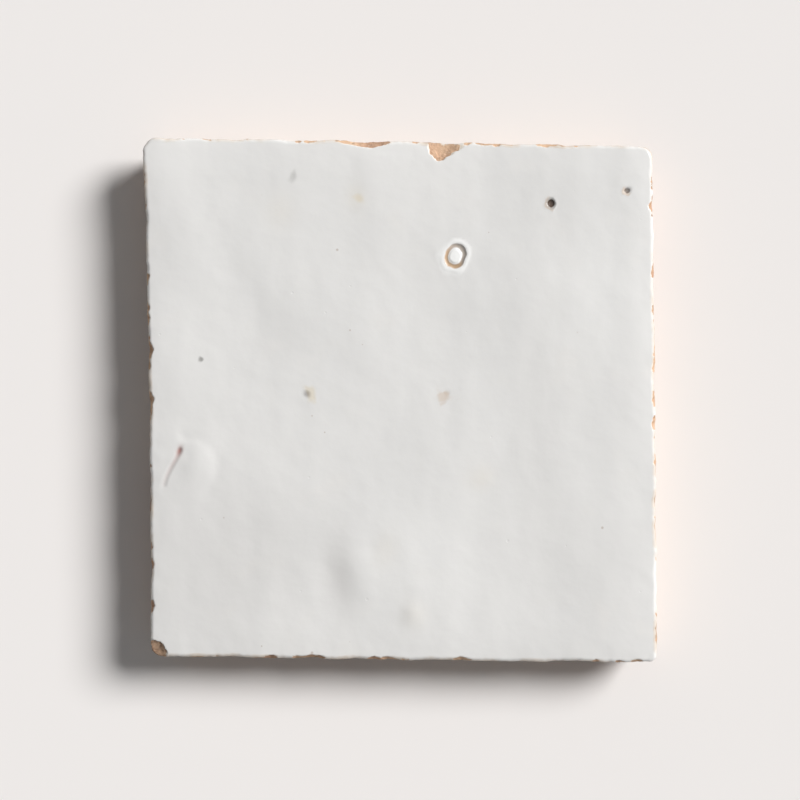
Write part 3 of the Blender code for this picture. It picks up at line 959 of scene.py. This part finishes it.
def sandyClayGroup():                       # fired clay: its colour, with painted shade in its hollows and dark pores, and its height
    inputs = [("Place", "NodeSocketVector", (0, 0, 0)), ("ShadeInHollows", "NodeSocketFloat", 0.5)]
    tones = ("pale", "deep", "sand", "void")
    inputs += [(tone.title(), "NodeSocketColor", sandyClay[tone]) for tone in tones]
    outputs = [("Colour", "NodeSocketColor"), ("Height", "NodeSocketFloat")]
    group, entry, leave = newGroup("sandyClay", inputs, outputs)
    given = entry.outputs

    def cloudy(name):
        return noiseMask(group, given["Place"], *sandyClay[name])

    cloud = maths(group, "ADD", cloudy("clouds"), cloudy("broadClouds"))
    # deep clay is drawn darker, a painted shade
    cloud = maths(group, "SUBTRACT", cloud, times(group, given["ShadeInHollows"], sandyClay["hollowShade"]))
    light = ramp(group, cloud, *sandyClay["cloudRange"])
    colour = mixColour(group, light, given["Deep"], given["Pale"])
    values = {"Vector": given["Place"], "Scale": sandyClay["gritScale"]}
    grit = addNode(group, "ShaderNodeTexVoronoi", values).outputs["Distance"]
    patches = ramp(group, cloudy("gritPatches"), *sandyClay["patchRange"])
    grains = times(group, ramp(group, grit, *sandyClay["gritRange"]), patches)
    colour = mixColour(group, times(group, grains, sandyClay["gritShare"]), colour, given["Sand"])
    clusters = ramp(group, cloudy("poreClusters"), *sandyClay["clusterRange"])
    pores = times(group, ramp(group, cloudy("pores"), *sandyClay["poreRange"]), clusters)
    # pores are drawn dark, and deep hollows darker still as painted shade
    deepShade = ramp(group, given["ShadeInHollows"], *sandyClay["voidRange"])
    darkPoresAndShade = maths(group, "MAXIMUM", times(group, pores, sandyClay["poreShare"]), deepShade)
    colour = mixColour(group, darkPoresAndShade, colour, given["Void"])
    height = maths(group, "ADD", cloudy("grain"), times(group, grains, sandyClay["gritHeight"]))
    height = maths(group, "SUBTRACT", height, times(group, pores, sandyClay["poreHeight"]))
    group.links.new(colour, leave.inputs["Colour"])
    group.links.new(height, leave.inputs["Height"])
    return group


def specklesGroup():                        # sparse round specks, as a mask
    inputs = [("Place", "NodeSocketVector", (0, 0, 0))]
    inputs += [(title, "NodeSocketFloat", 0.1) for title in ("Scale", "Size", "Share")]
    group, entry, leave = newGroup("speckles", inputs, [("Mask", "NodeSocketFloat")])
    values = {"Vector": entry.outputs["Place"], "Scale": entry.outputs["Scale"]}
    cells = addNode(group, "ShaderNodeTexVoronoi", values)
    pick = addNode(group, "ShaderNodeSeparateColor", {"Color": cells.outputs["Color"]})
    chosen = maths(group, "LESS_THAN", pick.outputs["Red"], entry.outputs["Share"])
    variety = maths(group, "ADD", pick.outputs["Green"], speckShape["least"])
    size = times(group, entry.outputs["Size"], variety)
    edge = maths(group, "SUBTRACT", size, cells.outputs["Distance"])
    dot = maths(group, "DIVIDE", edge, speckShape["softness"], clamp=True)
    group.links.new(times(group, dot, chosen), leave.inputs["Mask"])
    return group


glazeLook = {
    "white": (0.785, 0.776, 0.76, 1),
    "cool": (0.755, 0.747, 0.733, 1),
    "warm": (0.80, 0.78, 0.75, 1),
    "iron": (0.32, 0.20, 0.12, 1),
    "thinTint": (0.60, 0.47, 0.34, 1),      # clay shines through where the glaze is thin
    "thinShare": 0.6,
    "brokenEdge": (0.80, 0.74, 0.65, 1),
    "brokenShare": 0.85,
    "brokenRoughness": 0.5,
    "drift": (70, 2, 0.55),
    "driftRange": (0.36, 0.64),
    "driftStretch": (1.0, 0.4, 1.0),        # drawn out along the pour
    "clouds": (110, 2, 0.6),
    "warmRange": (0.55, 0.8),
    "warmShare": 0.4,
    "specks": (420.0, 0.1, 0.05),           # scale, size, and the share of cells with one
    "speckStrength": 0.4,
    "pits": (640.0, 0.13, 0.03),
    "pitDepth": 0.00002,
    "roughness": (0.1, 0.2),
    "peel": (560.0, 2, 0.4),
    "peelHeight": 0.00003,
    "refraction": 1.52,
}
clayLook = {
    "edge": (0.35, 0.65),                   # how sharply it parts from the glaze
    "roughness": 0.93,
    "grain": 0.00022,                       # height of its grain, metres
    "struck": (0.75, 0.81, 0.87, 1),        # the sides are duller than later breaks
    "freshest": 0.8,                        # how much of that dullness a break has lost
}


def bumped(tree, height, distance, under=None):
    values = {"Strength": 1.0, "Distance": distance, "Height": height}
    if under is not None:
        values["Normal"] = under
    return addNode(tree, "ShaderNodeBump", values).outputs["Normal"]


def tileMaterial():
    material = bpy.data.materials.new("zellige_glaze_and_clay")
    material.use_nodes = True
    tree = material.node_tree
    shader = tree.nodes["Principled BSDF"]
    place = addNode(tree, "ShaderNodeTexCoord").outputs["Object"]
    masks = {
        name: addNode(tree, "ShaderNodeAttribute", attribute_name=name).outputs["Fac"]
        for name in maskNames
    }
    tint = addNode(tree, "ShaderNodeAttribute", attribute_name="tint")
    speckles = specklesGroup()

    def specked(scale, size, share):
        values = {"Place": place, "Scale": scale, "Size": size, "Share": share}
        return addNode(tree, "ShaderNodeGroup", values, node_tree=speckles).outputs["Mask"]

    bare = ramp(tree, masks["clay"], *clayLook["edge"])
    glazed = maths(tree, "SUBTRACT", 1.0, bare)

    # The glaze: milky white that drifts between cool and warm, with specks of iron, and the stains,
    # painted shade and painted light laid on the mesh
    values = {"Vector": place, "Scale": glazeLook["driftStretch"]}
    drawn = addNode(tree, "ShaderNodeMapping", values).outputs["Vector"]
    drift = ramp(tree, noiseMask(tree, drawn, *glazeLook["drift"]), *glazeLook["driftRange"])
    glaze = mixColour(tree, drift, glazeLook["cool"], glazeLook["white"])
    cloud = noiseMask(tree, place, *glazeLook["clouds"])
    warmth = ramp(tree, cloud, *glazeLook["warmRange"])
    coats = [
        (times(tree, warmth, glazeLook["warmShare"]), glazeLook["warm"]),
        (times(tree, specked(*glazeLook["specks"]), glazeLook["speckStrength"]), glazeLook["iron"]),
        # stains of the flaws, and painted shade and light from the clouds and the blister
        (tint.outputs["Alpha"], tint.outputs["Color"]),
        (times(tree, masks["thin"], glazeLook["thinShare"]), glazeLook["thinTint"]),
        (times(tree, masks["broken"], glazeLook["brokenShare"]), glazeLook["brokenEdge"]),
    ]
    for amount, colour in coats:
        glaze = mixColour(tree, amount, glaze, colour)

    values = {"Place": place, "ShadeInHollows": masks["hollow"]}
    clay = addNode(tree, "ShaderNodeGroup", values, node_tree=sandyClayGroup())
    struck = mixColour(tree, 1.0, clay.outputs["Colour"], clayLook["struck"], "MULTIPLY")
    fresh = times(tree, masks["broken"], clayLook["freshest"])
    body = mixColour(tree, fresh, struck, clay.outputs["Colour"])
    fill(tree, shader.inputs["Base Color"], mixColour(tree, bare, glaze, body))

    low, high = glazeLook["roughness"]
    gloss = addNode(tree, "ShaderNodeMapRange", {"Value": cloud, "To Min": low, "To Max": high})
    rough = mixValue(tree, masks["broken"], gloss.outputs["Result"], glazeLook["brokenRoughness"])
    rough = mixValue(tree, bare, rough, clayLook["roughness"])
    fill(tree, shader.inputs["Roughness"], rough)

    # Grain of the clay, then orange peel and pits of the glaze
    grain = times(tree, clay.outputs["Height"], bare)
    normal = bumped(tree, grain, clayLook["grain"])
    peel = times(tree, noiseMask(tree, place, *glazeLook["peel"]), glazed)
    normal = bumped(tree, peel, glazeLook["peelHeight"], normal)
    sunk = times(tree, times(tree, specked(*glazeLook["pits"]), glazed), -1.0)
    fill(tree, shader.inputs["Normal"], bumped(tree, sunk, glazeLook["pitDepth"], normal))
    shader.inputs["IOR"].default_value = glazeLook["refraction"]
    return material


# The room: floor, lamp, sky and camera
room = {
    "floorSize": 12.0,
    "floorColour": (0.862, 0.834, 0.818, 1),
    "floorRoughness": 0.9,
    "floorSheen": 0.1,
    "floorGap": 0.0001,                     # metres between the tile and the floor
    "frameWidth": 0.1507,                   # metres across the picture, at the tile's face
    "lens": 100.0,
    "clipStart": 0.01,
    "keyTurn": 30.0,                        # degrees up from +X, seen from above
    "keyRise": 38.0,                        # degrees above the floor
    "keyWidth": 26.0,                       # degrees across, so that shadows are soft
    "keyPower": 4.13,
    "keyColour": (1.0, 0.993, 0.985),
    "keyGloss": 0.3,                        # share of the lamp that the gloss reflects
    "skyStrength": 0.18,
    "skyColour": (0.97, 0.985, 1.0, 1),
    "backdrop": (0.93, 0.91, 0.895, 1),
    # What the gloss shows of the room: (height as a sine, brightness), from the horizon up
    "reflected": [
        (0.0, 0.9), (0.21, 0.9), (0.24, 0.3), (0.38, 0.3),
        (0.42, 0.95), (0.6, 0.95), (0.66, 0.4), (1.0, 0.4),
    ],
}


def addFloor():
    bm = bmesh.new()
    bmesh.ops.create_grid(bm, x_segments=1, y_segments=1, size=room["floorSize"] / 2)
    floor = addMesh("studio_floor", bm)
    floor.location.z = tileLow.z - room["floorGap"]
    material = bpy.data.materials.new("pale_floor")
    material.use_nodes = True
    shader = material.node_tree.nodes["Principled BSDF"]
    shader.inputs["Base Color"].default_value = room["floorColour"]
    shader.inputs["Roughness"].default_value = room["floorRoughness"]
    shader.inputs["Specular IOR Level"].default_value = room["floorSheen"]
    floor.data.materials.append(material)


def addKeyLamp(name, power, isGloss):       # one lamp, in two shares: matt light and gloss
    lamp = bpy.data.lights.new(name, "SUN")
    lamp.angle = math.radians(room["keyWidth"])
    lamp.energy = power
    lamp.color = room["keyColour"]
    turn, rise = math.radians(room["keyTurn"]), math.radians(room["keyRise"])
    flat = math.cos(rise)
    away = Vector((math.cos(turn) * flat, math.sin(turn) * flat, math.sin(rise)))
    key = addObject(name, lamp)
    key.rotation_euler = away.to_track_quat("Z", "Y").to_euler()
    key.visible_diffuse = not isGloss
    key.visible_glossy = isGloss


def addSky():                               # soft light, backdrop, and panels in the gloss
    world = bpy.data.worlds.new("studio")
    world.use_nodes = True
    tree = world.node_tree
    background = tree.nodes["Background"]
    background.inputs["Color"].default_value = room["skyColour"]
    background.inputs["Strength"].default_value = room["skyStrength"]
    way = addNode(tree, "ShaderNodeTexCoord").outputs["Generated"]
    height = addNode(tree, "ShaderNodeSeparateXYZ", {"Vector": way}).outputs["Z"]
    ray = addNode(tree, "ShaderNodeLightPath")
    panels = addNode(tree, "ShaderNodeValToRGB", {"Fac": height})
    stops, (lowest, *between, highest) = panels.color_ramp.elements, room["reflected"]
    for stop, (sine, level) in zip(stops, (lowest, highest)):
        stop.position, stop.color = sine, (level, level, level, 1)
    for sine, level in between:
        stops.new(sine).color = (level, level, level, 1)
    shown = mixColour(tree, ray.outputs["Is Camera Ray"], panels.outputs["Color"], room["backdrop"])
    seen = addNode(tree, "ShaderNodeBackground", {"Color": shown, "Strength": 1.0})
    looks = maths(tree, "ADD", ray.outputs["Is Camera Ray"], ray.outputs["Is Glossy Ray"], clamp=True)
    values = {0: looks, 1: background.outputs[0], 2: seen.outputs[0]}
    mix = addNode(tree, "ShaderNodeMixShader", values)
    tree.links.new(mix.outputs[0], tree.nodes["World Output"].inputs["Surface"])
    bpy.context.scene.world = world


def addCamera():
    camera = bpy.data.cameras.new("from_above")
    camera.lens = room["lens"]
    camera.clip_start = room["clipStart"]
    distance = room["frameWidth"] * camera.lens / camera.sensor_width
    above = addObject("from_above", camera)
    above.location = (0, 0, tileHigh.z + distance)
    bpy.context.scene.camera = above


tile = tileObject()
tile.data.materials.append(tileMaterial())
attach(tile, "root")
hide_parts("zellige_tile")
print("tile finished")

addFloor()
addKeyLamp("key_light", room["keyPower"], isGloss=False)
addKeyLamp("key_gloss", room["keyPower"] * room["keyGloss"], isGloss=True)
addSky()
addCamera()
bpy.context.scene.view_settings.view_transform = "Standard"
print("room finished")
